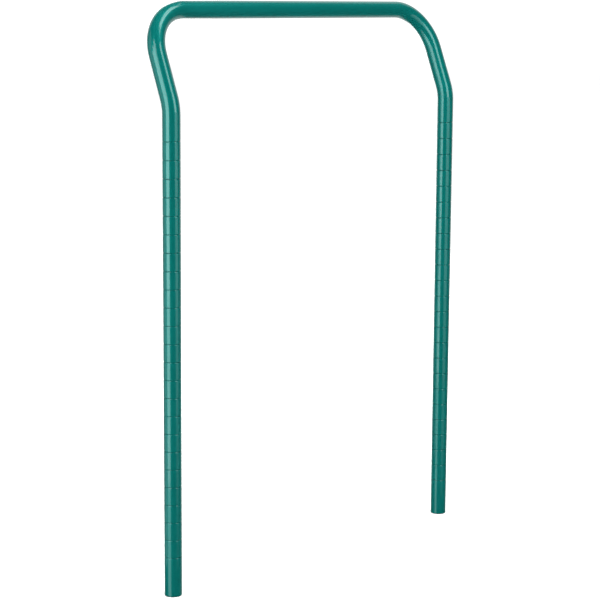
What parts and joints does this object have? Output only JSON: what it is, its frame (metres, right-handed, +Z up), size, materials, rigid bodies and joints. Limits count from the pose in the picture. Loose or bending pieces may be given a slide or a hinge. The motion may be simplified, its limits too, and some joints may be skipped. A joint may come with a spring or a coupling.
{
  "type": "wire shelf cart handle post",
  "caption": "Bent steel tube handle post for a wire shelf cart: grooved parallel legs that take shelf collars, arms that lean back and a grip bar across the top.",
  "frame": {"origin": "midway between the two leg axes, in the plane of the leg ends", "axes": "+X along the grip bar from the left leg to the right, +Y the way the arms lean, +Z up the legs"},
  "size_m": [0.6024, 0.0764, 0.83],
  "materials": {
    "tube_coating": "glossy teal green epoxy coat on a steel tube",
    "insert_steel": "turned steel, zinc plated"
  },
  "bodies": {
    "root": {"bent_tube": "tube_coating", "left_stem_insert": "insert_steel", "right_stem_insert": "insert_steel"}
  },
  "joints": []
}
